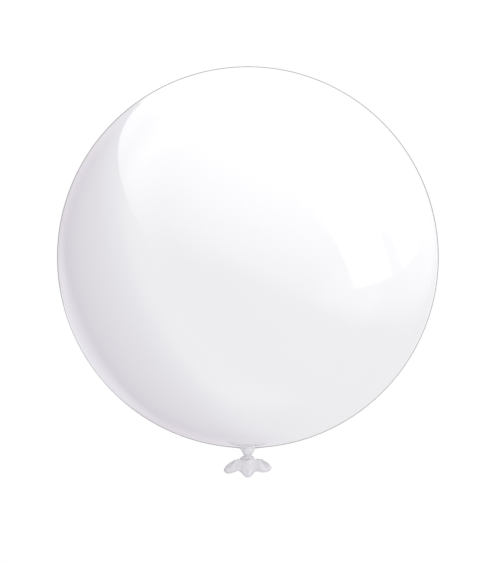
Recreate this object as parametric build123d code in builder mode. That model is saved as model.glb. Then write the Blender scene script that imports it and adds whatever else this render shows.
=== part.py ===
"""A round latex balloon, blown up and knotted.

The balloon is one dipped rubber moulding. It is built here as the regions that a hand can tell
apart: the stretched envelope, the thick spot at its crown, the neck that gathers below it, the
pinched throat, the knot with its loop, the flared tail and the bead rolled into the tail's rim.
The origin is the centre of the pinched throat, where a ribbon is tied. +Z runs up through the
crown, +X to the right and -Y to the front.
"""

import os
from math import asin, cos, pi, sin, sqrt

from build123d import *

# Envelope
body_diameter = 300.0
envelope_wall = 0.3
crown_spot_diameter = 18.0
crown_spot_wall = 0.25
crown_spot_edge = 0.1  # how thick the spot still is where it ends

# Neck: an open cone that closes down to solid gathered film
neck_height = 6.0  # from the tie to where the cone meets the envelope
neck_mouth_diameter = 11.8
neck_wall = 0.5
neck_foot_diameter = 6.6
neck_foot_height = 1.3  # from the tie up to the cone's lower end
neck_cavity_height = 3.4  # from the tie up to the lowest point of the cone's hollow

# Throat: the gathered film bends here in every direction, so it is a ball between two cups
throat_diameter = 4.4
throat_clearance = 0.25

# Knot
core_diameter = 5.2
core_top_depth = 1.2
loop_thickness = 3.0
loop_bite = 0.3  # how far the loop is pulled into the strand
loop_depth = 3.2  # from the tie down to the middle of the loop

# Tail: a skirt of film from a round collar to a rim with three lobes in front and three behind
tail_width = 36.4
tail_depth = 15.0
tail_drop = 17.0  # from the tie down to the lowest point of the rim
tail_wall = 0.3
collar_depth = 5.8  # from the tie down to the collar
collar_clearance = 0.3
right_shoulder_rise = 3.0  # how far the side lobes arch above a plain quarter ellipse
left_shoulder_rise = 2.5
lip_thickness = 1.3

# The rim, as shares of half the width, half the depth and the drop, going round from the right
rim_shares = [
    (1.00, 0.00, 0.565),  # right tip
    (0.79, -0.70, 0.735),  # right lobe
    (0.35, -0.67, 0.700),  # right notch
    (0.02, -1.00, 1.000),  # front lobe
    (-0.37, -0.62, 0.690),  # left notch
    (-0.84, -0.67, 0.800),  # left lobe
    (-1.00, 0.05, 0.635),  # left tip
    (-0.71, 0.74, 0.660),
    (-0.28, 0.60, 0.565),
    (0.08, 0.92, 0.680),  # back lobe
    (0.40, 0.64, 0.555),
    (0.74, 0.72, 0.620),
]
rib_count = len(rim_shares)

# Worked out from the sizes above
body_radius = body_diameter / 2
neck_mouth_radius = neck_mouth_diameter / 2
body_centre = neck_height + sqrt(body_radius**2 - neck_mouth_radius**2)
inner_radius = body_radius - envelope_wall
inner_mouth_height = body_centre - sqrt(inner_radius**2 - neck_mouth_radius**2)
throat_radius = throat_diameter / 2
cup_radius = throat_radius + throat_clearance
core_radius = core_diameter / 2
collar_radius = core_radius + collar_clearance + tail_wall / 2
core_length = collar_depth + tail_wall - core_top_depth
lip_radius = lip_thickness / 2


def sphere_arc(radius, start_angle, end_angle):
    """Draws an arc of the envelope's half section, by its angles from the crown."""

    def on_sphere(angle):
        return (radius * sin(angle), body_centre + radius * cos(angle))

    middle_angle = (start_angle + end_angle) / 2
    return ThreePointArc(on_sphere(start_angle), on_sphere(middle_angle), on_sphere(end_angle))


# The stretched skin, open at the bottom where the neck joins it
with BuildPart() as envelope:
    with BuildSketch(Plane.XZ):
        with BuildLine():
            outside = sphere_arc(body_radius, 0, pi - asin(neck_mouth_radius / body_radius))
            inside = sphere_arc(inner_radius, pi - asin(neck_mouth_radius / inner_radius), 0)
            Line(outside @ 1, inside @ 0)
            Line(inside @ 1, outside @ 0)
        make_face()
    revolve(axis=Axis.Z)

# The thick spot at the crown, lining the inside of the skin
with BuildPart() as crown_spot:
    with BuildSketch(Plane.XZ):
        with BuildLine():
            spot_angle = asin(crown_spot_diameter / 2 / inner_radius)
            upper = sphere_arc(inner_radius, 0, spot_angle)
            spot_bottom = (0, body_centre + inner_radius - crown_spot_wall)
            spot_rim = upper @ 1 - Vector(0, crown_spot_edge)
            lower = TangentArc(spot_bottom, spot_rim, tangent=(1, 0))
            Line(lower @ 0, upper @ 0)
            Line(upper @ 1, lower @ 1)
        make_face()
    revolve(axis=Axis.Z)

# The gathering cone under the envelope, with a cup below for the throat
with BuildPart() as neck:
    with BuildSketch(Plane.XZ):
        with BuildLine():
            Polyline(
                (0, neck_foot_height),
                (neck_foot_diameter / 2, neck_foot_height),
                (neck_mouth_radius, neck_height),
                (neck_mouth_radius, inner_mouth_height),
                (neck_mouth_radius - neck_wall, inner_mouth_height),
                (0, neck_cavity_height),
                close=True,
            )
        make_face()
    revolve(axis=Axis.Z)
    Sphere(cup_radius, mode=Mode.SUBTRACT)

# The pinched film that bends
with BuildPart() as throat:
    Sphere(throat_radius)

# The strand that runs down through the knot
with BuildPart() as knot_core:
    with BuildSketch(Plane.XY.offset(-core_top_depth)):
        Circle(core_radius)
    extrude(amount=-core_length)
    Sphere(cup_radius, mode=Mode.SUBTRACT)

# The turn of neck pulled tight round that strand, which flattens where the two press together
with BuildPart() as knot_loop:
    with Locations((0, 0, -loop_depth)):
        Torus(core_radius + loop_thickness / 2 - loop_bite, loop_thickness / 2)
        Cylinder(core_radius, loop_thickness, mode=Mode.SUBTRACT)


def film_point(rib, travel):
    """Returns the middle of the tail's film on one rib, from the collar (0) to the rim (1).

    A rib is a quarter ellipse in plan distance and height, which leaves the collar level and
    reaches the rim steeply. The side lobes arch above it.
    """
    across, along, down = rim_shares[rib % rib_count]
    rim = Vector(across * tail_width / 2, along * tail_depth / 2, -down * tail_drop)
    heading = Vector(rim.X, rim.Y, 0).normalized()
    collar = heading * collar_radius - Vector(0, 0, collar_depth)
    outward = sin(travel * pi / 2)
    downward = 1 - cos(travel * pi / 2)
    rise = right_shoulder_rise if across > 0 else left_shoulder_rise
    arch = rise * across**2 * sin(travel * pi)
    return Vector(
        collar.X + (rim.X - collar.X) * outward,
        collar.Y + (rim.Y - collar.Y) * outward,
        collar.Z + (rim.Z - collar.Z) * downward + arch,
    )


def film_directions(rib, travel):
    """Returns the film's two unit directions at a point: along its rib, and out of its face."""
    step = 0.02
    ahead = film_point(rib, min(travel + step, 1))
    behind = film_point(rib, max(travel - step, 0))
    outward = (ahead - behind).normalized()
    round_rim = film_point(rib + 1, travel) - film_point(rib - 1, travel)
    return outward, outward.cross(round_rim).normalized()


def ring(place):
    """Returns the smooth closed wire through one point on every rib."""
    points = [place(rib) for rib in range(rib_count)]
    return Wire([Edge.make_spline(points, periodic=True)])


def film_ring(travel, offset):
    """Returns the ring round the tail at one travel, on the face that lies offset from the middle."""

    def place(rib):
        normal = film_directions(rib, travel)[1]
        return film_point(rib, travel) + normal * offset

    return ring(place)


def bead_ring(angle):
    """Returns the ring round the rim that runs along the rolled bead at one angle of its section."""

    def place(rib):
        outward, normal = film_directions(rib, 1)
        return film_point(rib, 1) + (outward * cos(angle) + normal * sin(angle)) * lip_radius

    return ring(place)


def skin(rings):
    """Returns the one smooth face through a row of closed rings."""
    return Shell.make_loft(rings).faces()[0]


def band(ring_a, ring_b):
    """Returns the straight face between two closed rings."""
    return Face.make_surface_from_curves(ring_a.edge(), ring_b.edge())


# The flared mouth of the balloon, hanging from its collar round the knot's strand
with BuildPart() as tail_skirt:
    film_travels = [0, 0.1, 0.2, 0.4, 0.6, 0.8, 1]
    outer_rings = [film_ring(travel, tail_wall / 2) for travel in film_travels]
    inner_rings = [film_ring(travel, -tail_wall / 2) for travel in film_travels]
    add(
        Solid(
            Shell(
                [
                    skin(outer_rings),
                    skin(inner_rings),
                    band(outer_rings[0], inner_rings[0]),
                    band(outer_rings[-1], inner_rings[-1]),
                ]
            )
        )
    )

# The rim's rolled bead
with BuildPart() as rolled_lip:
    quarter = pi / 4
    bead_rings = [bead_ring(step * quarter) for step in range(8)]
    add(
        Solid(
            Shell(
                [
                    skin(bead_rings[0:5]),
                    skin(bead_rings[4:8] + bead_rings[0:1]),
                ]
            )
        )
    )

os.makedirs("parts", exist_ok=True)
nodes = {
    "envelope": envelope,
    "crown_spot": crown_spot,
    "neck": neck,
    "throat": throat,
    "knot_core": knot_core,
    "knot_loop": knot_loop,
    "tail_skirt": tail_skirt,
    "rolled_lip": rolled_lip,
}
for label, node in nodes.items():
    node.part.label = label
    export_step(node.part, f"parts/{label}.step")
    print(label, round(node.part.volume, 2), node.part.is_valid, node.part.bounding_box().size)
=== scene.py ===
"""A round latex balloon, blown up and knotted, floating above a pale studio floor.

Each region of the balloon is a class. It works out its own skin as whole arrays on a grid, in
millimetres from the tie, and turns it into a piece that rides on that region's body, or one
that stays fixed where it is made, on no body. The film is pleated where the neck gathers it,
smooth where the gas stretches it, and ruffled where it hangs free below the knot.
"""

import logging
import math
from dataclasses import dataclass
from enum import Enum
from functools import cache, reduce

import bpy
import numpy as np
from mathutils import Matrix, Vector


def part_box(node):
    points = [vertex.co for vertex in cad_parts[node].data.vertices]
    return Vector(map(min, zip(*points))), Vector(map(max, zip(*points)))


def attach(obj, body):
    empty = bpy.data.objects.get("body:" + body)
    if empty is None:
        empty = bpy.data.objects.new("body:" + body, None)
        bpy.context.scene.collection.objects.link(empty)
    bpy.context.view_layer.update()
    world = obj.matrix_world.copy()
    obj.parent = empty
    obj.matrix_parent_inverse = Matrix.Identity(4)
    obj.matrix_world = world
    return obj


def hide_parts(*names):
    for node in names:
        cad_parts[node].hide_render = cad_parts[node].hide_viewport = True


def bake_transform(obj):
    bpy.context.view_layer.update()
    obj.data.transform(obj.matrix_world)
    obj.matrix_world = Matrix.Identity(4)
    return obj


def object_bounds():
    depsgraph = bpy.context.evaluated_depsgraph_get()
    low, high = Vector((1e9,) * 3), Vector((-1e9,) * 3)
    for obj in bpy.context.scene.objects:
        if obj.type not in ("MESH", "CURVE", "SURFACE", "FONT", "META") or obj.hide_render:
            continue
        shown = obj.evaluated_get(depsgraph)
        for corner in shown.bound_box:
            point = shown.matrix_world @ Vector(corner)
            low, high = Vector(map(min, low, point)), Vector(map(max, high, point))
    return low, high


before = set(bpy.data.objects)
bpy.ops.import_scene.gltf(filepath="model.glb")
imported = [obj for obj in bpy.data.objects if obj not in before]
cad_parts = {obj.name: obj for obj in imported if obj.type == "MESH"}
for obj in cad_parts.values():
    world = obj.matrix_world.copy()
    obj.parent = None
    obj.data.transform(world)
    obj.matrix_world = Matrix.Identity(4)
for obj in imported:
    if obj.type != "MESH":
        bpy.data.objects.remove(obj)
cad_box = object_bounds()

log = logging.getLogger("balloon")

MM = 0.001
TURN = 2 * math.pi
Array = np.ndarray
Object = bpy.types.Object
Socket = bpy.types.NodeSocket
Triple = tuple[float, float, float]
Colour = tuple[float, float, float, float]
RIGHT = (1.0, 0.0, 0.0)
NORTH = (0.0, 1.0, 0.0)
UP = (0.0, 0.0, 1.0)


class Body(Enum):
    """The bodies that the joints join."""

    BALLOON = "balloon"
    THROAT = "throat"
    KNOT = "knot"
    TAIL = "tail"


class Region(Enum):
    """The film's three finishes, by the record's material slots."""

    STRETCHED = "stretched_film"
    GATHERED = "gathered_film"
    FREE = "tail_film"


# ---- curves and grids


def ease(low: float, high: float, value: Array) -> Array:
    """Eases from 0 at low to 1 at high: three t squared less two t cubed, t held to 0..1.

    Args:
        low: where the ease starts.
        high: where it ends. It may lie below low.
        value: the values to ease.

    Returns:
        The eased values, from 0 to 1.
    """
    t = np.clip((np.asarray(value, float) - low) / (high - low), 0, 1)
    return t * t * (3 - 2 * t)


def turns(count: int) -> Array:
    """Returns that many angles, spread evenly round one turn from 0."""
    return np.linspace(0, TURN, count, endpoint=False)


def unit(vectors: Array) -> Array:
    """Returns the vectors along the last axis, scaled to a length of 1."""
    return vectors / np.maximum(np.linalg.norm(vectors, axis=-1, keepdims=True), 1e-12)


def spline(knots: Array, count: int, closed: bool = False) -> Array:
    """Samples the cubic spline through some points, evenly by the chord length between them.

    On each span the curve is the cubic whose second derivative runs straight from one knot's
    value to the next. Those values solve the linear system that makes the slopes agree at the
    knots. They are zero at both ends of an open curve, and go round on a closed one.

    Args:
        knots: one row of coordinates for each point.
        count: how many samples to take. A closed curve doesn't repeat its first one.
        closed: whether the last point joins the first.

    Returns:
        The samples, one row each.
    """
    points = np.asarray(knots, float)
    if closed:
        points = np.vstack([points, points[:1]])
    chords = np.linalg.norm(np.diff(points, axis=0), axis=1)
    places = np.concatenate([[0], np.cumsum(chords)])
    size = len(points)
    system = np.eye(size)
    slopes = np.diff(points, axis=0) / chords[:, None]
    wanted = np.zeros_like(points)
    inner = np.arange(1, size - 1)
    system[inner, inner - 1] = chords[:-1] / 6
    system[inner, inner] = (chords[:-1] + chords[1:]) / 3
    system[inner, inner + 1] = chords[1:] / 6
    wanted[inner] = slopes[1:] - slopes[:-1]
    if closed:
        system[0, :2] = [chords[0] / 3, chords[0] / 6]
        system[0, -2:] = [chords[-1] / 6, chords[-1] / 3]
        wanted[0] = slopes[0] - slopes[-1]
        system[-1, [0, -1]] = [1, -1]
    bends = np.linalg.solve(system, wanted)
    at = np.linspace(0, places[-1], count, endpoint=not closed)
    span = np.clip(np.searchsorted(places, at, side="right") - 1, 0, size - 2)
    width = chords[span][:, None]
    after = (at - places[span])[:, None] / width
    before = 1 - after
    bend = (before**3 - before) * bends[span] + (after**3 - after) * bends[span + 1]
    return before * points[span] + after * points[span + 1] + bend * width**2 / 6


def around(radius: Array, height: Array, angle: Array) -> Array:
    """Turns radii, heights and angles about +Z into points, stacked on a new last axis."""
    radius, height, angle = np.broadcast_arrays(radius, height, angle)
    return np.stack([radius * np.cos(angle), radius * np.sin(angle), height], axis=-1)


def sweep(path: Array, ahead: Array, outward: Array, reach: Array, section: Array) -> Array:
    """Sweeps a round section along a path, square to it.

    Args:
        path: the middle of each ring.
        ahead: the path's direction there.
        outward: the direction in which the section starts, of which the square part counts.
        reach: how far each place of each ring lies from its middle.
        section: the angle of each place round the section.

    Returns:
        The rings' points.
    """
    ahead = unit(ahead)
    outward = unit(outward - ahead * np.einsum("ij,ij->i", outward, ahead)[:, None])
    upward = np.cross(ahead, outward)
    return (
        path[:, None]
        + outward[:, None] * (reach * np.cos(section))[..., None]
        + upward[:, None] * (reach * np.sin(section))[..., None]
    )


def put(name: str, data: bpy.types.ID) -> Object:
    """Makes an object and puts it in the scene.

    Args:
        name: its name.
        data: its data.

    Returns:
        The new object.
    """
    made = bpy.data.objects.new(name, data)
    bpy.context.scene.collection.objects.link(made)
    return made


@dataclass
class Skin:
    """A surface on a grid of closed rings, in millimetres, ready to become a piece.

    Attributes:
        name: the piece's name.
        node: the CAD node that it is shown in place of.
        finish: its finish.
        grid: the rings' points, as rows, ring places and coordinates.
        first_pole: the point that closes the first ring, if it is closed.
        last_pole: the point that closes the last ring, if it is closed.
        rows_close: whether the last ring joins the first, as on a tube that closes on itself.
        wall: an open film's wall, inwards from the grid, or 0 where the grid closes itself.
    """

    name: str
    node: str
    finish: "LatexFinish"
    grid: Array
    first_pole: Triple | None = None
    last_pole: Triple | None = None
    rows_close: bool = False
    wall: float = 0.0

    def poles(self) -> list[tuple[Triple, float]]:
        """Lists the poles that there are, each with its share of the way along."""
        both = ((self.first_pole, 0.0), (self.last_pole, 1.0))
        return [(pole, share) for pole, share in both if pole is not None]

    def faces(self) -> tuple[Array, Array]:
        """Lists the grid's squares, and the triangles that close its poles.

        Returns:
            The squares, four numbers each, and the triangles, three numbers each.
        """
        rows, columns = self.grid.shape[:2]
        number = np.arange(rows * columns).reshape(rows, columns)
        if self.rows_close:
            number = np.vstack([number, number[:1]])
        here, beside = number, np.roll(number, -1, axis=1)
        squares = np.stack([here[:-1], here[1:], beside[1:], beside[:-1]], axis=-1)
        triangles = [np.zeros((0, 3), int)]
        first, last = (here[0], beside[0]), (beside[-1], here[-1])
        for pole, ring in ((self.first_pole, first), (self.last_pole, last)):
            if pole is not None:
                tip = np.full(columns, rows * columns + len(triangles) - 1)
                triangles.append(np.stack([*ring, tip], axis=-1))
        return squares.reshape(-1, 4), np.vstack(triangles)

    def grain(self) -> Array:
        """Works out the film's own coordinates: the cosine and sine of the way round, and the
        share of the way along, with the poles at their ring's share and the circle's middle.

        Returns:
            Three numbers for each vertex.
        """
        rows, columns = self.grid.shape[:2]
        grains = around(1.0, np.linspace(0, 1, rows)[:, None], turns(columns)).reshape(-1, 3)
        return np.vstack([grains, *([0.0, 0.0, share] for _, share in self.poles())])

    def piece(self) -> Object:
        """Makes the object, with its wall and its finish. If its faces enclose a
        negative volume, all are turned round to point outwards.

        Returns:
            The new object, at the origin.
        """
        squares, triangles = self.faces()
        vertices = np.vstack([self.grid.reshape(-1, 3), *(pole for pole, _ in self.poles())])
        centre = vertices.mean(axis=0)
        corner, second, third, fourth = (vertices[squares[:, i]] - centre for i in range(4))
        volume = np.einsum("ij,ij->", corner, np.cross(second, third))
        volume += np.einsum("ij,ij->", corner, np.cross(third, fourth))
        if volume < 0:
            squares, triangles = squares[:, ::-1], triangles[:, ::-1]
        mesh = bpy.data.meshes.new(self.name)
        polygons = squares.tolist() + triangles.tolist()
        mesh.from_pydata((vertices * MM).tolist(), [], polygons)
        mesh.polygons.foreach_set("use_smooth", np.ones(len(polygons), bool))
        grain = mesh.attributes.new("grain", "FLOAT_VECTOR", "POINT")
        grain.data.foreach_set("vector", self.grain().astype(np.float32).ravel())
        mesh.update()
        mesh.materials.append(self.finish.material())
        made = put(self.name, mesh)
        if self.wall:
            solid = made.modifiers.new("wall", "SOLIDIFY")
            solid.thickness = self.wall * MM
            solid.offset = -1
            solid.use_even_offset = False
            solid.use_rim = True
        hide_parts(self.node)
        return made

    def riding(self, body: Body) -> Object:
        """Makes the piece, and sets it on a body.

        Args:
            body: the body.

        Returns:
            The piece.
        """
        made = self.piece()
        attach(made, body.value)
        return made

    def bending(self, first: Body, second: Body, start: float, end: float) -> Object:
        """Makes the piece, and bakes its place into its mesh; it isn't set on a body or bent.

        Args:
            first: the body that it would leave; not used.
            second: the body that it would reach; not used.
            start: the height where a bend would start; not used.
            end: the height where it would be done; not used.

        Returns:
            The piece.
        """
        made = self.piece()
        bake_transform(made)
        return made


# ---- finishes


class Wiring:
    """Adds nodes to one node tree and joins them."""

    def __init__(self, owner: bpy.types.ID) -> None:
        """Takes a node tree, and empties it.

        Args:
            owner: the material or world that it belongs to.
        """
        owner.use_nodes = True
        self.tree = owner.node_tree
        self.tree.nodes.clear()

    def add(self, kind: str, inputs: dict | None = None, **settings: object) -> bpy.types.Node:
        """Adds a node.

        Args:
            kind: the node's type.
            inputs: what each input holds, by its name or number: a value, or another node's
                output to join.
            settings: the node's own properties.

        Returns:
            The new node.
        """
        made = self.tree.nodes.new(kind)
        for name, value in settings.items():
            setattr(made, name, value)
        for place, value in (inputs or {}).items():
            socket = made.inputs[place]
            if isinstance(value, Socket):
                self.tree.links.new(value, socket)
            else:
                socket.default_value = value
        return made

    def math(self, operation: str, *values: object) -> Socket:
        """Adds a Math node over the values, and returns its output."""
        return self.add("ShaderNodeMath", dict(enumerate(values)), operation=operation).outputs[0]

    def product(self, *values: object) -> Socket:
        """Returns the values multiplied together."""
        return reduce(lambda first, other: self.math("MULTIPLY", first, other), values)

    def dot(self, vector: object, direction: tuple[float, ...]) -> Socket:
        """Returns the dot product of a vector output and a fixed direction."""
        inputs = {0: vector, 1: direction}
        return self.add("ShaderNodeVectorMath", inputs, operation="DOT_PRODUCT").outputs["Value"]

    def step(self, value: object, low: object, high: float, first: float = 0.0,
             last: float = 1.0, ramp: str = "SMOOTHSTEP") -> Socket:
        """Returns the first level where the value is at low, eased to the last one at high."""
        inputs = {"Value": value, "From Min": low, "From Max": high,
                  "To Min": first, "To Max": last}
        return self.add("ShaderNodeMapRange", inputs, interpolation_type=ramp).outputs["Result"]

    def mix(self, share: object, first: object, second: object) -> Socket:
        """Returns a colour mixed from the first to the second by a share."""
        inputs = {0: share, 6: first, 7: second}
        return self.add("ShaderNodeMix", inputs, data_type="RGBA").outputs[2]

    def noise(self, vector: object, scale: float, detail: float) -> Socket:
        """Returns a noise texture's value on a vector."""
        inputs = {"Vector": vector, "Scale": scale, "Detail": detail}
        return self.add("ShaderNodeTexNoise", inputs).outputs[0]


def colour(*levels: float) -> Colour:
    """Turns a colour from display values into the shader's own linear values.

    Args:
        levels: its red, green and blue, out of 255.

    Returns:
        The linear colour, opaque.
    """
    shares = [level / 255 for level in levels]
    linear = [
        share / 12.92 if share <= 0.04045 else ((share + 0.055) / 1.055) ** 2.4
        for share in shares
    ]
    return (*linear, 1.0)


# Where the stretched film starts to thicken and where it is thickest, in metres: from the axis,
# and up from the tie. First near the neck, then in the crown's spot.
NECK_REACH, NECK_RISE = (0.034, 0.006), (0.03, 0.004)
SPOT_REACH, SPOT_RISE = (0.0098, 0.0072), (0.29, 0.30)
SPOT_SHARE = 0.6


@dataclass(frozen=True)
class LatexFinish:
    """White latex with a gloss.

    Attributes:
        name: the material's name.
        region: the record's slot.
        pale: the film's colour where it is plain.
        deep: its colour where it is thick or lies in folds.
        smooth: the roughness of the glossiest spots.
        dull: the roughness of the dullest spots.
        coat: how strongly the outer gloss reflects.
        coat_roughness: how blurred that gloss is.
        specular: the strength of the film's own reflection.
        streaks: how many streaks go round the film, as a noise scale.
        streak_height: how far the streaks stand out, in millimetres.
        skin_height: how far the fine skin stands out, in millimetres.
        skin: the fine skin's noise scale.
        cloud: the noise scale of the patches where the gloss and the tone drift.
        drift: how far the tone drifts in them.
        along: how often a streak changes on its way along the film.
        ior: latex's index of refraction.
    """

    name: str
    region: Region
    pale: Colour
    deep: Colour
    smooth: float
    dull: float
    coat: float
    coat_roughness: float
    streaks: float
    streak_height: float
    skin_height: float
    skin: float = 900.0
    cloud: float = 38.0
    drift: float = 0.3
    along: float = 2.2
    ior: float = 1.52
    specular: float = 0.5

    def thickness(self, wiring: Wiring, place: object) -> Socket:
        """Works out how thick the film is: 1 near the neck, less in the crown's spot, else 0.

        Args:
            wiring: the material's tree.
            place: the object coordinates.

        Returns:
            The share, as a node's output.
        """
        x, y, z = wiring.add("ShaderNodeSeparateXYZ", {0: place}).outputs[:3]
        radius = wiring.math("SQRT", wiring.math("ADD", wiring.product(x, x), wiring.product(y, y)))
        bottom = wiring.product(wiring.step(radius, *NECK_REACH), wiring.step(z, *NECK_RISE))
        spot = wiring.product(wiring.step(radius, *SPOT_REACH), wiring.step(z, *SPOT_RISE))
        return wiring.math("MAXIMUM", bottom, wiring.product(spot, SPOT_SHARE))

    @cache
    def material(self) -> bpy.types.Material:
        """Builds the node material, once.

        Returns:
            The material.
        """
        made = bpy.data.materials.new(self.name)
        wiring = Wiring(made)
        product = wiring.product
        place = wiring.add("ShaderNodeTexCoord").outputs["Object"]
        grain = wiring.add("ShaderNodeAttribute", attribute_name="grain").outputs["Vector"]
        drawn = {"Vector": grain, "Scale": (self.streaks, self.streaks, self.along)}
        streak = wiring.noise(wiring.add("ShaderNodeMapping", drawn).outputs[0], 1.0, 3)
        cloud = wiring.noise(place, self.cloud, 3)
        relief = product(wiring.noise(place, self.skin, 2), self.skin_height * MM)
        ridge = product(streak, self.streak_height * MM)
        if self.region is Region.STRETCHED:
            thick = self.thickness(wiring, place)
            ridge = product(ridge, thick)
        else:
            thick = wiring.step(streak, 0.35, 0.75)
        drift = product(wiring.math("SUBTRACT", cloud, 0.5), self.drift)
        share = wiring.add("ShaderNodeClamp", {0: wiring.math("ADD", thick, drift)}).outputs[0]
        bump = wiring.add(
            "ShaderNodeBump",
            {"Height": wiring.math("ADD", relief, ridge), "Distance": 1.0, "Strength": 1.0},
        ).outputs[0]
        shader = wiring.add(
            "ShaderNodeBsdfPrincipled",
            {"Base Color": wiring.mix(share, self.pale, self.deep),
             "Roughness": wiring.step(cloud, 0.3, 0.7, self.smooth, self.dull, "LINEAR"),
             "Normal": bump, "IOR": self.ior, "Specular IOR Level": self.specular,
             "Coat Weight": self.coat, "Coat Roughness": self.coat_roughness,
             "Coat IOR": self.ior},
        )
        wiring.add("ShaderNodeOutputMaterial", {"Surface": shader.outputs[0]})
        return made


STRETCHED_LATEX = LatexFinish(
    name="stretched_latex", region=Region.STRETCHED,
    pale=colour(240, 240, 243), deep=colour(230, 230, 235),
    smooth=0.02, dull=0.05, coat=1.0, coat_roughness=0.005,
    streaks=14.0, streak_height=0.12, skin_height=0.001,
)
# Painted light: this latex is set paler than the stretched film to offset the shade that falls on
# the neck, throat and knot under the balloon.
GATHERED_LATEX = LatexFinish(
    name="gathered_latex", region=Region.GATHERED,
    pale=colour(246, 245, 248), deep=colour(236, 235, 239),
    smooth=0.2, dull=0.32, coat=0.8, coat_roughness=0.07,
    streaks=9.0, streak_height=0.09, skin_height=0.006,
)
# Painted shade: this latex is set greyer than the other films, standing in for the shade that the
# tail hangs in below the balloon.
FREE_LATEX = LatexFinish(
    name="free_latex", region=Region.FREE,
    pale=colour(230, 228, 232), deep=colour(221, 218, 224),
    smooth=0.2, dull=0.32, coat=0.8, coat_roughness=0.08,
    streaks=7.0, streak_height=0.10, skin_height=0.006,
)


# ---- the balloon's regions


@dataclass
class Pleats:
    """The folds that run up the gathered film.

    Attributes:
        count: how many ridges go round.
        sway: how unevenly they are spaced, in radians.
        twist: how far they wind between the envelope and the tie, in radians.
        height: the height where the winding starts.
    """

    count: int = 11
    sway: float = 0.16
    twist: float = 0.55
    height: float = 6.0

    def depth(self, angle: Array, height: Array) -> Array:
        """Works out the folds: the size of a slow cosine round the axis, so that the ridges
        are round and the valleys sharp, with the angle swayed by two slower sines.

        Args:
            angle: the angle about the axis.
            height: the height above the tie.

        Returns:
            How deep the film lies, from 0 on a ridge to 1 in a valley.
        """
        wound = angle + self.twist * np.clip(1 - height / self.height, 0, 2)
        swayed = wound + self.sway * (np.sin(2 * wound + 0.7) + 0.6 * np.sin(3 * wound + 2.1))
        ridge = np.abs(np.cos(swayed * self.count / 2))
        uneven = 0.72 + 0.28 * np.sin(3 * swayed + 1.3)
        return (1 - ridge) * uneven


PLEATS = Pleats()


@dataclass
class Envelope:
    """The stretched round skin, and the thick spot inside its crown.

    Attributes:
        crown: the crown's height.
        mouth_height: the height where the neck joins.
        mouth_radius: the radius there.
        spot_radius: the thick spot's radius.
        spot_height: the lowest point of the spot's lining.
        wall: the shown wall.
        draw: how far the neck draws the mouth down.
        draw_fade: the way up the skin over which that fades to a third.
        pleat: how deep the pleats are at the mouth.
        pleat_fade: the way up over which they fade to a third.
        fine: how far up from the mouth the rings are close together, in radians.
        rings: how many there are above that, and within it.
        columns: how many places go round.
    """

    crown: float
    mouth_height: float
    mouth_radius: float
    spot_radius: float
    spot_height: float
    wall: float = 0.3
    draw: float = 0.6
    draw_fade: float = 4.0
    pleat: float = 0.16
    pleat_fade: float = 5.5
    fine: float = 0.26
    rings: tuple[int, int] = (132, 46)
    columns: int = 256

    @classmethod
    def from_frame(cls) -> "Envelope":
        """Reads the sizes from the CAD nodes.

        Returns:
            The envelope.
        """
        low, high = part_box("envelope")
        neck_low, neck_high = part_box("neck")
        spot_low, spot_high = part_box("crown_spot")
        return cls(
            crown=high.z / MM,
            mouth_height=low.z / MM,
            mouth_radius=(neck_high.x - neck_low.x) / 2 / MM,
            spot_radius=(spot_high.x - spot_low.x) / 2 / MM,
            spot_height=spot_low.z / MM,
        )

    def radius(self) -> float:
        """Returns the sphere's radius, from the crown's height over the mouth's circle."""
        rise = self.crown - self.mouth_height
        return (self.mouth_radius**2 + rise**2) / (2 * rise)

    def pucker(self, way_up: Array, angle: Array) -> Array:
        """Works out how deep the pleats lie in the skin: the exponential of the way up from the
        mouth, times the folds.

        Args:
            way_up: the way up the skin from the mouth.
            angle: the angle about the axis.

        Returns:
            The depth in millimetres.
        """
        fading = np.exp(-way_up / self.pleat_fade)
        return self.pleat * fading * PLEATS.depth(angle, self.mouth_height)

    def face(self, radius: float) -> float:
        """Works out the height of the unpleated skin near the mouth: the sphere's, less the
        draw, which is an exponential of the way up.

        Args:
            radius: the distance from the axis.

        Returns:
            The height.
        """
        rise = (radius**2 - self.mouth_radius**2) / (2 * self.radius())
        drawn = self.draw * math.exp((self.mouth_radius - radius) / self.draw_fade)
        return self.mouth_height + rise - drawn

    def skin(self) -> Skin:
        """Works out the sphere from the crown to the mouth. A point's radius from the centre is
        the sphere's and the draw towards the neck, which is an exponential of the way up from
        the mouth, less the pleats.

        Returns:
            The skin.
        """
        radius = self.radius()
        centre = self.crown - radius
        last = math.pi - math.asin(self.mouth_radius / radius)
        plain = np.linspace(0, last - self.fine, self.rings[0])[1:]
        close = np.linspace(last - self.fine, last, self.rings[1])[1:]
        polar = np.concatenate([plain, close])[:, None]
        angle = turns(self.columns)
        way_up = (last - polar) * radius
        pucker = self.pucker(way_up, angle)
        drawn = radius + self.draw * np.exp(-way_up / self.draw_fade) - pucker
        grid = around(drawn * np.sin(polar) - pucker / 2, centre + drawn * np.cos(polar), angle)
        top = (0.0, 0.0, self.crown)
        return Skin("envelope_skin", "envelope", STRETCHED_LATEX, grid, top, wall=self.wall)

    def spot(self) -> Skin:
        """Works out the lining of the crown: a lens whose lower face is a parabola of the
        radius, closed at both poles.

        Returns:
            The skin.
        """
        gap, edge = 0.02, 0.06
        inner = self.radius() - self.wall - gap
        centre = self.crown - self.radius()
        share = np.linspace(0, 1, 14)[1:, None]
        out = self.spot_radius * share
        top = centre + np.sqrt(inner**2 - out**2)
        drop = (centre + inner - self.spot_height) * (1 - share**2) + edge
        upper, lower = (around(out, height, turns(64)) for height in (top, top - drop))
        grid = np.concatenate([upper, lower[::-1]])
        poles = (0.0, 0.0, centre + inner), (0.0, 0.0, self.spot_height - edge)
        return Skin("crown_thick_spot", "crown_spot", STRETCHED_LATEX, grid, *poles)

    def build(self) -> list[Object]:
        """Makes both, on the balloon's body."""
        return [self.skin().riding(Body.BALLOON), self.spot().riding(Body.BALLOON)]


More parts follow.
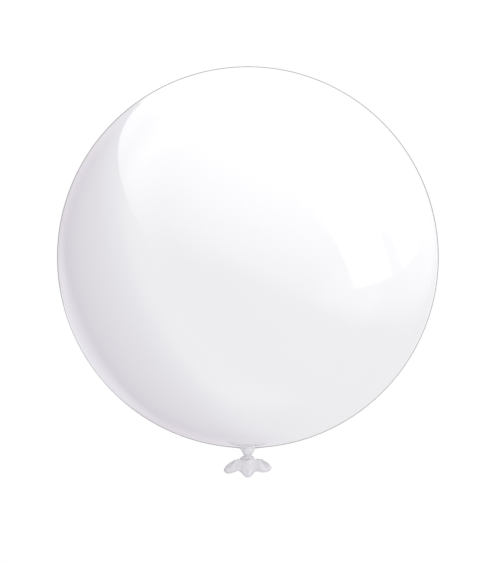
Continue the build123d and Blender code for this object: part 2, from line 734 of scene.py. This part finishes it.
@dataclass
class Neck:
    """The film that gathers from the envelope's mouth down to the throat.

    Attributes:
        envelope: the envelope that it hangs from.
        fillet: the radius where its top runs out into the envelope's face.
        columns: how many places go round.
    """

    envelope: Envelope
    fillet: float = 8.2
    columns: int = 220

    def skin(self) -> Skin:
        """Works out the cone. Its outer radius is a spline down from the envelope's face to
        the throat, less the pleats. A second spline inside lines it, and a foot closes it.

        Returns:
            The skin.
        """
        face = self.envelope.face
        mouth = self.envelope.mouth_radius
        joined = ((self.fillet, 0.05), (7.4, -0.03), (6.7, -0.15), (6.1, -0.42))
        top = [(radius, face(radius) + above) for radius, above in joined]
        cone = [(5.75, 4.6), (5.45, 3.95), (4.75, 2.8), (3.95, 1.35), (3.3, 0.62), (2.98, 0.3)]
        outer = spline(top + cone, 60)
        lining = [(0.6, 3.3), (2.4, 3.7), (4.1, 4.6), (mouth - 0.5, face(mouth) - 0.1)]
        inner = spline(lining, 20)
        foot = [(2.6, 0.22), (1.3, 0.2)]
        edge = [(self.fillet - 0.1, face(self.fillet) + 0.15)]
        profile = np.vstack([inner, edge, outer, foot])
        angle = turns(self.columns)
        radius, height = profile[:, :1], profile[:, 1:]
        folds = PLEATS.depth(angle, height)
        deep = 0.08 + 0.57 * ease(5.5, 2.6, height) - 0.15 * ease(1.4, 0.4, height)
        drawn = radius - deep * ease(0.0, 2.5, radius) * folds
        height = height + self.envelope.pucker(radius - mouth, angle) * ease(4.8, 5.4, height)
        grid = around(drawn, height, angle)
        return Skin("neck_film", "neck", GATHERED_LATEX, grid, (0.0, 0.0, 3.2), (0.0, 0.0, 0.2))

    def build(self) -> list[Object]:
        """Makes the cone, fixed where it is made, on no body."""
        return [self.skin().bending(Body.BALLOON, Body.THROAT, start=4.8, end=0.45)]


@dataclass
class Throat:
    """The pinched film at the tie.

    Attributes:
        waist: its radius at the tie.
        pleat: how deep its pleats are.
        top: its highest height.
        foot: its lowest.
        columns: how many places go round.
    """

    waist: float = 2.82
    pleat: float = 0.52
    top: float = 0.6
    foot: float = -0.42
    columns: int = 180

    def skin(self) -> Skin:
        """Works out the waist: the radius grows as the square of the height from the tie,
        more steeply below it, less the pleats.

        Returns:
            The skin.
        """
        height = np.linspace(self.top, self.foot, 25)[:, None]
        angle = turns(self.columns)
        swell = np.where(height > 0, height**2 + 0.06 * height, 1.9 * height**2)
        drawn = self.waist + swell - self.pleat * PLEATS.depth(angle, height)
        grid = around(drawn, height, angle)
        poles = (0.0, 0.0, self.top), (0.0, 0.0, self.foot)
        return Skin("throat_gather", "throat", GATHERED_LATEX, grid, *poles)

    def build(self) -> list[Object]:
        """Makes the waist, on the throat's body."""
        return [self.skin().riding(Body.THROAT)]


@dataclass
class Knot:
    """The strand that runs down through the knot, and the turn of neck pulled round it.

    Attributes:
        strand_radius: the strand's radius.
        foot: the strand's lowest height.
        turn_height: the middle height of the turn.
        shift: how far the knot sits to the left of the axis.
        crossing: the angle about the axis where the turn's ends cross.
        overlap: how far each end goes on past it, in radians.
        turn_radius: how far the turn's middle line lies from the axis.
        dive: how far its ends dive in.
        tube: the turn's own radius.
        columns: how many places go round.
    """

    strand_radius: float
    foot: float
    turn_height: float
    shift: float = 0.3
    crossing: float = 1.04
    overlap: float = 0.62
    turn_radius: float = 4.38
    dive: float = 1.95
    tube: float = 1.6
    columns: int = 200

    @classmethod
    def from_frame(cls) -> "Knot":
        """Reads the sizes from the CAD nodes.

        Returns:
            The knot.
        """
        low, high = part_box("knot_core")
        loop_low, loop_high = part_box("knot_loop")
        middle = (loop_low.z + loop_high.z) / 2
        return cls((high.x - low.x) / 2 / MM, low.z / MM, middle / MM)

    def strand(self) -> Skin:
        """Works out the shoulder that fans out from the tie over the turn, and the strand that
        goes on down inside it to a puckered foot, as one spline profile less the pleats. The
        shift is eased in below the tie.

        Returns:
            The skin.
        """
        wide, foot = self.strand_radius, self.foot
        fan = [(3.05, -0.24), (3.65, -0.45), (4.4, -0.82), (5.0, -1.3), (5.15, -1.75), (4.5, -2.3)]
        down = [(wide, -3.4), (wide, -4.6), (wide - 0.05, foot + 0.6), (wide - 0.75, foot + 0.1),
                (0.7, foot + 0.12)]
        cap = [(1.4, -0.2), (2.6, -0.21)]
        profile = np.vstack([cap, spline(fan, 34), spline(down, 24)])
        angle = turns(self.columns)
        radius, height = profile[:, :1], profile[:, 1:]
        deep = 0.52 * ease(0.0, 2.5, radius) * (1 - 0.35 * ease(-0.6, -1.8, height))
        drawn = radius - deep * PLEATS.depth(angle, height)
        grid = around(drawn, height, angle)
        grid[..., 0] -= self.shift * ease(-0.6, -2.2, grid[..., 2])
        poles = (0.0, 0.0, -0.2), (-self.shift, 0.0, foot + 0.3)
        return Skin("knot_strand", "knot_core", GATHERED_LATEX, grid, *poles)

    def turn(self) -> Skin:
        """Works out the turn: a tube along a path that goes round the strand a little more
        than once, and dives into it at both ends, which cross one above the other.

        The path's radius and height ease from their middle values to the dives, and the tube
        thins towards its ends. Its section is a circle, drawn in by shallow creases that wind
        along it.

        Returns:
            The skin.
        """
        rings, places = 190, 44
        along = np.linspace(0, 1, rings)
        angle = self.crossing + self.overlap - along * (TURN + 2 * self.overlap)
        ends = ease(0.12, 0.0, along) + ease(0.88, 1.0, along)
        over, under = ease(0.26, 0.10, along), ease(0.74, 0.90, along)
        path_radius = self.turn_radius - self.dive * ends - 0.12 * (over + under)
        path_height = self.turn_height + 0.25 + 0.72 * over - 0.74 * under
        tube = self.tube - 0.48 * (over + under) - 0.35 * ends
        path = around(path_radius, path_height, angle)
        ahead = np.gradient(path, axis=0)
        outward = np.cross(np.broadcast_to(UP, ahead.shape), ahead)
        section = turns(places)[None, :]
        wound = section * 6 + along[:, None] * 24 + 0.9 * np.sin(section * 2 + 0.4)
        crease = 0.075 * (1 - np.abs(np.cos(wound / 2)))
        path[:, 0] -= self.shift
        grid = sweep(path, ahead, outward, tube[:, None] * (1 - crease), section)
        return Skin("knot_turn", "knot_loop", GATHERED_LATEX, grid, tuple(path[0]), tuple(path[-1]))

    def build(self) -> list[Object]:
        """Makes the strand, whose shoulder fans out over the turn, fixed where it is made on no
        body, and the turn, on the knot's body."""
        strand = self.strand().bending(Body.THROAT, Body.KNOT, start=-0.2, end=-0.9)
        return [strand, self.turn().riding(Body.KNOT)]


# The tail's rim, going round from the right: shares of the half width, half depth and drop.
RIM = (
    (1.00, 0.00, 0.560), (0.97, -0.34, 0.625), (0.78, -0.72, 0.735), (0.54, -0.72, 0.725),
    (0.35, -0.66, 0.700), (0.18, -0.84, 0.860), (0.02, -1.00, 0.977), (-0.17, -0.84, 0.880),
    (-0.37, -0.62, 0.690), (-0.62, -0.66, 0.750), (-0.84, -0.68, 0.805), (-0.985, -0.30, 0.735),
    (-1.00, 0.08, 0.635), (-0.71, 0.74, 0.660), (-0.28, 0.60, 0.565), (0.08, 0.92, 0.680),
    (0.40, 0.64, 0.555), (0.74, 0.72, 0.620),
)

# The tail film's outline in four directions, from above the collar to the rim: the radii and
# heights of its outer face.
OUTLINES = {
    "right": [
        (5.3, -4.98), (6.05, -4.5), (6.25, -3.7), (6.4, -3.15), (7.0, -2.85), (8.5, -3.15),
        (10.4, -3.65), (12.6, -4.35), (14.3, -5.15), (15.9, -6.15), (17.2, -7.35), (18.05, -8.5),
        (18.2, -9.55),
    ],
    "left": [
        (5.4, -4.98), (6.45, -4.6), (6.75, -3.8), (6.9, -3.3), (7.5, -3.2), (8.6, -3.85),
        (9.9, -4.55), (12.0, -5.35), (14.2, -6.05), (15.6, -6.95), (17.2, -8.15), (18.0, -9.4),
        (18.2, -10.8),
    ],
    "front": [
        (5.4, -5.0), (6.4, -4.6), (6.75, -3.8), (7.05, -3.2), (7.5, -3.1), (7.85, -3.7),
        (7.9, -5.0), (7.65, -7.3), (7.35, -9.6), (7.2, -12.0), (7.25, -14.6), (7.5, -17.0),
    ],
    "back": [
        (5.4, -5.0), (6.4, -4.7), (6.75, -4.15), (7.05, -3.75), (7.5, -3.75), (7.8, -4.3),
        (7.75, -5.6), (7.4, -7.4), (7.0, -9.2), (6.9, -11.5),
    ],
}


@dataclass
class Tail:
    """The flared mouth of the balloon below the knot, and the bead rolled into its rim.

    Attributes:
        half_width: half the rim's width, to the middle of the bead.
        half_depth: half its depth.
        drop: how far the rim's lowest point lies below the tie.
        bead: the bead's radius.
        wall: the film's shown wall.
        collar: the radius and height where the film starts, under the knot.
        wave: how far the crest round the knot waves up and down.
        ruffle: how deep the ruffles are.
        roll: the step at the roll's free edge, as a share of the bead's radius.
        columns: how many places go round.
        rows: how many rings the film has.
    """

    half_width: float
    half_depth: float
    drop: float
    bead: float = 0.65
    wall: float = 0.3
    collar: tuple[float, float] = (3.1, -5.6)
    wave: float = 0.22
    ruffle: float = 0.15
    roll: float = 0.11
    columns: int = 360
    rows: int = 84

    @classmethod
    def from_frame(cls) -> "Tail":
        """Reads the sizes from the CAD nodes.

        Returns:
            The tail.
        """
        low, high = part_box("rolled_lip")
        bead = cls.bead
        return cls(
            half_width=(high.x - low.x) / 2 / MM - bead,
            half_depth=-low.y / MM - bead,
            drop=-low.z / MM - bead,
        )

    def rim(self) -> Array:
        """Returns the middle of the bead: a closed spline through the rim's points."""
        size = np.array([self.half_width, self.half_depth, -self.drop])
        return spline(np.array(RIM) * size, self.columns, closed=True)

    def film(self) -> Skin:
        """Works out the film between the collar and the rim.

        In each of four directions the outline is split into a share of the way out, and a lift
        above a parabola from the collar to the rim. Every rib of the film takes those shares
        mixed by the direction that it lies in: the sides count by the square of how far across
        its rim point is. The lift is in millimetres, so a short rib isn't pulled up. The crest
        round the knot waves up and down, and ruffles move the film along its normals, most in
        the middle and least at both edges.

        Returns:
            The skin.
        """
        rim = self.rim()
        reach = np.hypot(rim[:, 0], rim[:, 1])
        heading = np.arctan2(rim[:, 1], rim[:, 0])
        across = (rim[:, 0] / self.half_width) ** 2
        facing = ease(-0.5, 0.5, rim[:, 1] / self.half_depth)
        weights = {
            "right": np.where(rim[:, 0] > 0, across, 0),
            "left": np.where(rim[:, 0] < 0, across, 0),
            "front": (1 - across) * (1 - facing),
            "back": (1 - across) * facing,
        }
        share = np.linspace(0, 1, self.rows)[:, None]
        out, lift = np.zeros((2, self.rows, self.columns))
        for side, points in OUTLINES.items():
            outline = spline([self.collar, (4.2, -5.12), *points], self.rows)
            radius, height = outline[:, :1], outline[:, 1:]
            way_out = (radius - radius[0]) / (radius[-1] - radius[0])
            above = height - height[0] - (height[-1] - height[0]) * share**2
            out += weights[side] * way_out
            lift += weights[side] * above
        radius = self.collar[0] + (reach - self.collar[0]) * out
        height = self.collar[1] + (rim[:, 2] - self.collar[1]) * share**2 + lift
        turn = turns(self.columns)
        crest = np.exp(-(((share - 0.3) / 0.14) ** 2))
        wave = np.sin(5 * turn + 1.0) + 0.6 * np.sin(8 * turn + 2.6) + 0.4 * np.sin(13 * turn)
        height = height + self.wave * crest * wave * (1 - across)
        grid = around(radius, height, heading)
        folds = (
            np.sin(9 * turn + 0.8 * np.sin(2 * turn))
            + 0.7 * np.sin(16 * turn + 1.9)
            + 0.5 * np.sin(27 * turn + 0.4)
        )
        amount = self.ruffle * ease(0.12, 0.42, share) * (1 - 0.75 * ease(0.7, 1.0, share))
        across = np.roll(grid, -1, axis=1) - np.roll(grid, 1, axis=1)
        normal = unit(np.cross(across, np.gradient(grid, axis=0)))
        grid += normal * (amount * folds)[..., None]
        return Skin("tail_film", "tail_skirt", FREE_LATEX, grid, wall=self.wall)

    def lip(self) -> Skin:
        """Works out the bead: a tube along the rim whose radius drops by a small step once
        round its section, which is the free edge of the roll, and wavers a little along it.

        Returns:
            The skin.
        """
        path = self.rim()
        places = 28
        ahead = np.roll(path, -1, axis=0) - np.roll(path, 1, axis=0)
        section = turns(places)[None, :]
        turn = turns(self.columns)[:, None]
        waver = 0.05 * np.sin(7 * turn + 0.6) + 0.035 * np.sin(17 * turn + 2.0)
        rolled = np.mod(section / TURN + 0.3 + 0.04 * np.sin(3 * turn), 1.0)
        radius = self.bead * (0.97 + waver - self.roll * rolled)
        grid = sweep(path, ahead, path * [1.0, 1.0, 0.0], radius, section)
        return Skin("rolled_rim", "rolled_lip", FREE_LATEX, grid, rows_close=True)

    def build(self) -> list[Object]:
        """Makes the film and its bead, on the tail's body."""
        return [self.film().riding(Body.TAIL), self.lip().riding(Body.TAIL)]


# ---- the studio


FLAG = (-0.725, 0.600, -0.338)
AHEAD_RIGHT = (0.94, -0.34, 0.0)
SCREEN_SIDE = (0.6675, -0.4082, 0.6228)


@dataclass
class Room:
    """What the gloss mirrors, by the direction that it lies in from the balloon.

    Attributes:
        wiring: the world's tree.
        way: the direction.
        screen_base: the screen's level at its middle.
        screen_climb: how much it brightens towards its top.
        window_level: the window's level.
        bar_shade: how much of it the bar takes away.
        far_level: what is left of the screen and the window straight behind the balloon.
    """

    wiring: Wiring
    way: object
    screen_base: float = 0.42
    screen_climb: float = 1.38
    window_level: float = 1.62
    bar_shade: float = 0.42
    far_level: float = 0.3

    def past(self, *edges: tuple) -> Socket:
        """Marks what lies past some soft straight edges.

        Args:
            edges: for each, the direction that it is measured along, and where along it the
                edge starts and ends.

        Returns:
            1 past every edge, and 0 elsewhere.
        """
        wiring = self.wiring
        return wiring.product(
            *(wiring.step(wiring.dot(self.way, toward), *span) for toward, *span in edges)
        )

    def walls(self) -> Socket:
        """Adds the grey walls and the dark flag, with a pale band beside it and a paler spot low
        behind it.

        Returns:
            The colour.
        """
        mix, product = self.wiring.mix, self.wiring.product
        flag_near, flag_far = (0.62, 0.55, 0.63, 1), (0.77, 0.72, 0.78, 1)
        wall, white, cool = (0.86, 0.86, 0.875, 1), (1.5, 1.5, 1.5, 1), (1.06, 1.09, 1.12, 1)
        dark = mix(self.past((NORTH, 0.74, 0.92)), flag_near, flag_far)
        grey = mix(self.past((FLAG, 0.54, 0.76)), wall, dark)
        band = self.past((FLAG, 0.0, 0.35), (FLAG, 0.62, 0.45), (NORTH, 0.4, 0.0))
        spot = self.past(((-0.465, 0.852, -0.240), 0.945, 1.0))
        return mix(product(spot, 0.55), mix(product(band, 0.55), grey, white), cool)

    def screen(self) -> Socket:
        """Adds the tall screen. Its side is sharp on the left, its foot is soft in front and on
        the right, and it brightens towards its top, its left edge and low on the right.

        Returns:
            The level, 0 outside it.
        """
        wiring, product = self.wiring, self.wiring.product
        left, over = (SCREEN_SIDE, -0.3085, -0.3045), ((0.82, 0.0, 0.572), -0.005, 0.02)
        side = wiring.math("MAXIMUM", self.past(left), self.past(over))
        ahead = self.past((AHEAD_RIGHT, -0.5, 0.2))
        low = wiring.math("SUBTRACT", product(ahead, 0.5), 0.62)
        foot = self.past(((0.47, -0.171, 0.866), low, 0.15))
        climb = product(wiring.dot(self.way, (0.37, -0.09, 0.925)), self.screen_climb)
        bright = wiring.math("MAXIMUM", wiring.math("ADD", climb, self.screen_base), 0.0)
        beside = self.past((AHEAD_RIGHT, -0.55, -0.85))
        lip = self.past((SCREEN_SIDE, -0.12, -0.31), (NORTH, 0.25, 0.6))
        under = self.past(((0.82, -0.35, -0.45), 0.87, 0.97))
        for patch, level in ((beside, 0.11), (lip, 0.24), (under, 0.3)):
            bright = wiring.math("ADD", bright, product(patch, level))
        return product(bright, side, foot)

    def window(self) -> tuple[Socket, Socket]:
        """Adds the window. Its edges are straight, so each is a plane through the room.

        Returns:
            1 in the whole window and 1 on its bar, each 0 elsewhere.
        """
        sill = ((0.177, -0.307, 0.936), 0.005, 0.025)
        left, right = ((0.555, 0.648, 0.522), 0.115, 0.131), (RIGHT, 0.1, 0.4)
        panes = self.past(sill, left, right)
        bar_left = ((0.351, 0.828, 0.438), 0.37, 0.39)
        bar_right = ((0.726, 0.555, 0.405), 0.842, 0.822)
        bar_top = (UP, 0.5, 0.05)
        return panes, self.wiring.product(self.past(bar_left, bar_right, bar_top), panes)

    def card(self, mirrored: object) -> Socket:
        """Hangs the grey card straight behind the balloon, which draws its outline. It is darker
        above than below and palest low on the left, where a gleam lies round it.

        Args:
            mirrored: the colour without it.

        Returns:
            The colour with it.
        """
        wiring = self.wiring
        top, foot, left = (0.28, 0.28, 0.29, 1), (0.34, 0.34, 0.35, 1), (0.44, 0.44, 0.45, 1)
        above = self.past((UP, -0.05, 0.08))
        low_left = self.past(
            ((0.139, 0.0, -0.99), -0.01, 0.04), ((-0.788, 0.0, 0.616), -0.01, 0.04)
        )
        inner = wiring.math("SUBTRACT", 0.964, wiring.product(above, 0.007))
        paint = wiring.mix(low_left, wiring.mix(above, foot, top), left)
        gleam = wiring.product(low_left, self.past((NORTH, 0.93, 0.96)), 0.45)
        mirrored = wiring.mix(gleam, mirrored, (1.1, 1.08, 1.12, 1))
        return wiring.mix(self.past((NORTH, inner, 0.986)), mirrored, paint)

    def mirrored(self) -> Socket:
        """Puts the room together.

        Returns:
            The colour that the gloss mirrors.
        """
        wiring = self.wiring
        panes, bar = self.window()
        glow = wiring.math("MAXIMUM", self.screen(), wiring.product(panes, self.window_level))
        fade = wiring.step(wiring.dot(self.way, NORTH), 0.1, 1.0, 1.0, self.far_level, "LINEAR")
        shut = wiring.math("SUBTRACT", 1.0, wiring.product(bar, self.bar_shade))
        glow = wiring.product(glow, fade, shut)
        white = wiring.add("ShaderNodeCombineXYZ", {0: glow, 1: glow, 2: glow}).outputs[0]
        whole = wiring.add("ShaderNodeVectorMath", {0: self.walls(), 1: white}, operation="ADD")
        return self.card(whole.outputs[0])


@dataclass
class Studio:
    """The floor, the light and the camera.

    Attributes:
        tall: the height that the frame takes in at the balloon's distance, in millimetres.
        lens: the lens, in millimetres.
        aim: the point that the frame is centred on, in millimetres.
        floor_drop: how far the floor lies below the tail, in metres.
        floor_radius: the floor's radius, in metres.
        lamp_place: where the lamp hangs, in metres.
        lamp_size: its side, in metres.
        lamp_power: its power, in watts.
    """

    tall: float = 443.3625
    lens: float = 200.0
    aim: Triple = (1.68, 0.0, 136.87)
    floor_drop: float = 0.32
    floor_radius: float = 1.8
    lamp_place: Triple = (0.6, -0.4, 2.3)
    lamp_size: float = 1.0
    lamp_power: float = 2.0

    def camera(self) -> None:
        """Sets up the camera level with the balloon and straight in front of it."""
        data = bpy.data.cameras.new("camera")
        data.lens = self.lens
        distance = self.tall * MM * self.lens / data.sensor_width
        holder = put("camera", data)
        x, y, z = (value * MM for value in self.aim)
        holder.location = (x, y - distance, z)
        holder.rotation_euler = (math.pi / 2, 0, 0)
        data.clip_start, data.clip_end = 0.05, 50
        bpy.context.scene.camera = holder

    def floor(self) -> None:
        """Lays a round pale floor below the balloon. It is clear from underneath, and to every
        ray but the camera's, so that the film mirrors the room."""
        ring = around(self.floor_radius, cad_box[0].z - self.floor_drop, turns(96))
        mesh = bpy.data.meshes.new("floor")
        mesh.from_pydata(ring.tolist(), [], [range(len(ring))])
        slab = put("floor", mesh)
        made = bpy.data.materials.new("floor_paint")
        wiring = Wiring(made)
        place = wiring.add("ShaderNodeTexCoord").outputs["Object"]
        grit = wiring.noise(place, 30.0, 3)
        paint = wiring.mix(grit, colour(228, 229, 231), colour(233, 234, 236))
        matt = wiring.add("ShaderNodeBsdfDiffuse", {"Color": paint})
        clear = wiring.add("ShaderNodeBsdfTransparent")
        back = wiring.add("ShaderNodeNewGeometry").outputs["Backfacing"]
        camera = wiring.add("ShaderNodeLightPath").outputs["Is Camera Ray"]
        share = wiring.product(wiring.math("SUBTRACT", 1.0, back), camera)
        shown = wiring.add(
            "ShaderNodeMixShader", {0: share, 1: clear.outputs[0], 2: matt.outputs[0]}
        )
        wiring.add("ShaderNodeOutputMaterial", {"Surface": shown.outputs[0]})
        mesh.materials.append(made)

    def world(self) -> None:
        """Surrounds the balloon with three backgrounds: white paper straight behind it for the
        camera, an even light with a dark flag behind on the left for the diffuse rays, and the
        room for the gloss."""
        made = bpy.data.worlds.new("studio")
        bpy.context.scene.world = made
        wiring = Wiring(made)
        way = wiring.add("ShaderNodeTexCoord").outputs["Generated"]
        room = Room(wiring, way)
        unlit = room.past((FLAG, 0.60, 0.88))
        lit = wiring.mix(unlit, (0.985, 0.985, 0.985, 1), (0.07, 0.0, 0.12, 1))
        rays = wiring.add("ShaderNodeLightPath")
        seen = wiring.math(
            "MAXIMUM", rays.outputs["Is Camera Ray"], rays.outputs["Is Transmission Ray"]
        )
        level = wiring.mix(rays.outputs["Is Glossy Ray"], lit, room.mirrored())
        sheet = room.past((NORTH, 0.86, 0.975))
        paper = wiring.mix(sheet, colour(226, 227, 229), (1, 1, 1, 1))
        level = wiring.mix(seen, level, paper)
        back = wiring.add("ShaderNodeBackground", {"Color": level, "Strength": 1.0})
        wiring.add("ShaderNodeOutputWorld", {"Surface": back.outputs[0]})

    def lamp(self) -> None:
        """Hangs a square soft lamp that points at the balloon."""
        data = bpy.data.lights.new("key_lamp", "AREA")
        data.shape, data.size, data.energy = "SQUARE", self.lamp_size, self.lamp_power
        holder = put("key_lamp", data)
        holder.location = self.lamp_place
        way = (cad_box[0] + cad_box[1]) / 2 - holder.location
        holder.rotation_euler = way.to_track_quat("-Z", "Y").to_euler()
        holder.visible_glossy = holder.visible_camera = False

    def build(self) -> None:
        """Sets up the whole studio."""
        bpy.context.scene.view_settings.view_transform = "Standard"
        self.world()
        self.lamp()
        self.floor()
        self.camera()


def main() -> None:
    """Builds the balloon from the crown down, then the studio."""
    envelope = Envelope.from_frame()
    for part in (envelope, Neck(envelope), Throat(), Knot.from_frame(), Tail.from_frame()):
        for piece in part.build():
            log.info("%s: %d faces", piece.name, len(piece.data.polygons))
    Studio().build()


if __name__ == "__main__":
    logging.basicConfig(level=logging.INFO)
    main()
